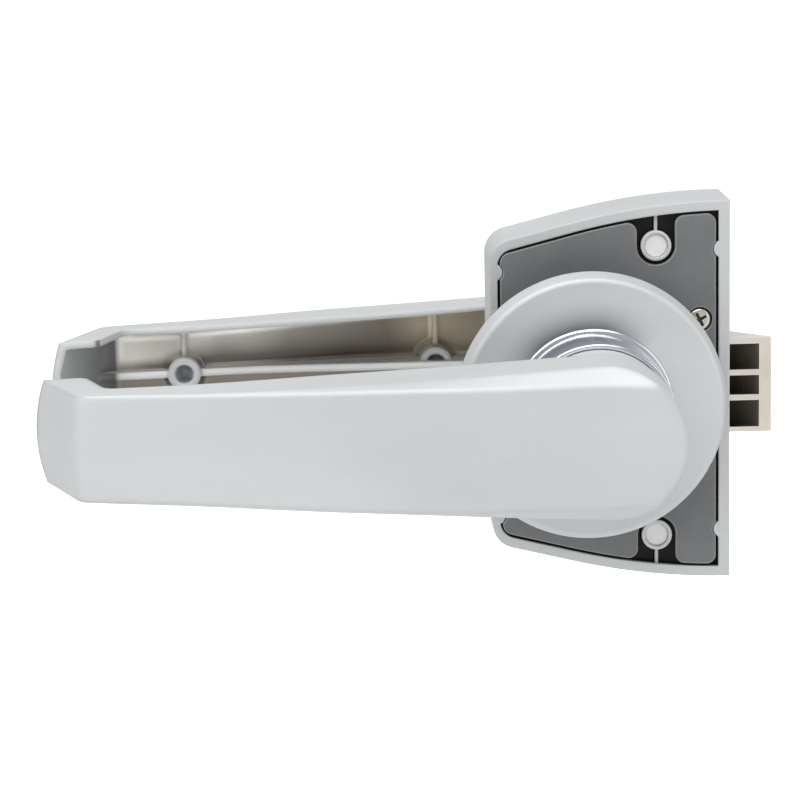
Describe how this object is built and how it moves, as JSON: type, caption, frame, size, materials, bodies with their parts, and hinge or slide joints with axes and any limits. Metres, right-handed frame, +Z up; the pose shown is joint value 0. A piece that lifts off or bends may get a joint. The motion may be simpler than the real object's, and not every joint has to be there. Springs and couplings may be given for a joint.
{
  "type": "lever handle door lock",
  "caption": "Lever latch lock for a glass door: clamp-on case with sprung bevelled latch, round rosette and two open-backed lever handles.",
  "frame": {"origin": "on the spindle axis, in the plane where the lock case meets the glass", "axes": "+X towards the latch nose, +Y through the door from the near lever to the far lever, +Z up"},
  "size_m": [0.1733, 0.1182, 0.0909],
  "materials": {
    "satin_silver": "satin silver on cast zinc",
    "warm_nickel": "nickel plated",
    "plain_steel": "zinc plated",
    "dark_steel": "black phosphate",
    "polished_chrome": "polished",
    "grey_pad": "moulded",
    "white_nylon": "moulded",
    "black_rubber": "soft"
  },
  "bodies": {
    "case": {"case_shell": "satin_silver", "clamp_pad": "grey_pad", "mechanism_plate": "dark_steel", "cover_screws": "warm_nickel", "boss_plugs": "white_nylon", "clamp_inserts": "plain_steel", "hub_bush_front": "white_nylon", "hub_bush_rear": "white_nylon", "latch_guide": "white_nylon", "latch_spring": "plain_steel", "hub_spring": "plain_steel", "rear_collar": "polished_chrome", "rear_thrust_washer": "white_nylon", "rosette_gasket": "black_rubber", "rosette_base": "plain_steel", "rosette_cover": "satin_silver", "front_collar": "polished_chrome", "front_lever_bush": "white_nylon", "front_thrust_washer": "white_nylon", "front_lever_spring": "plain_steel", "clamp_bolts": "plain_steel"},
    "handle": {"front_lever": "satin_silver", "rear_lever": "satin_silver", "spindle": "plain_steel", "hub": "plain_steel", "front_grub_screw": "plain_steel", "rear_grub_screw": "plain_steel", "front_retaining_ring": "plain_steel"},
    "latch": {"latch_bolt": "warm_nickel", "latch_tail": "plain_steel", "tail_rivet": "plain_steel"}
  },
  "joints": [
    {"name": "handle_turn", "type": "hinge", "parent": "case", "child": "handle", "pos_m": [0, 0, 0], "axis": [0, -1, 0], "range_deg": [0, 40], "stiffness_Nm_per_rad": 1.5, "springref_deg": -20.05, "deforming": ["hub_spring", "front_lever_spring"]},
    {"name": "latch_slide", "type": "slide", "parent": "case", "child": "latch", "axis": [-1, 0, 0], "range_m": [0, 0.01095], "deforming": ["latch_spring"]}
  ],
  "couplings": [
    {"joint": "latch_slide", "follows": "handle_turn", "m_per_rad": 0.01567}
  ]
}
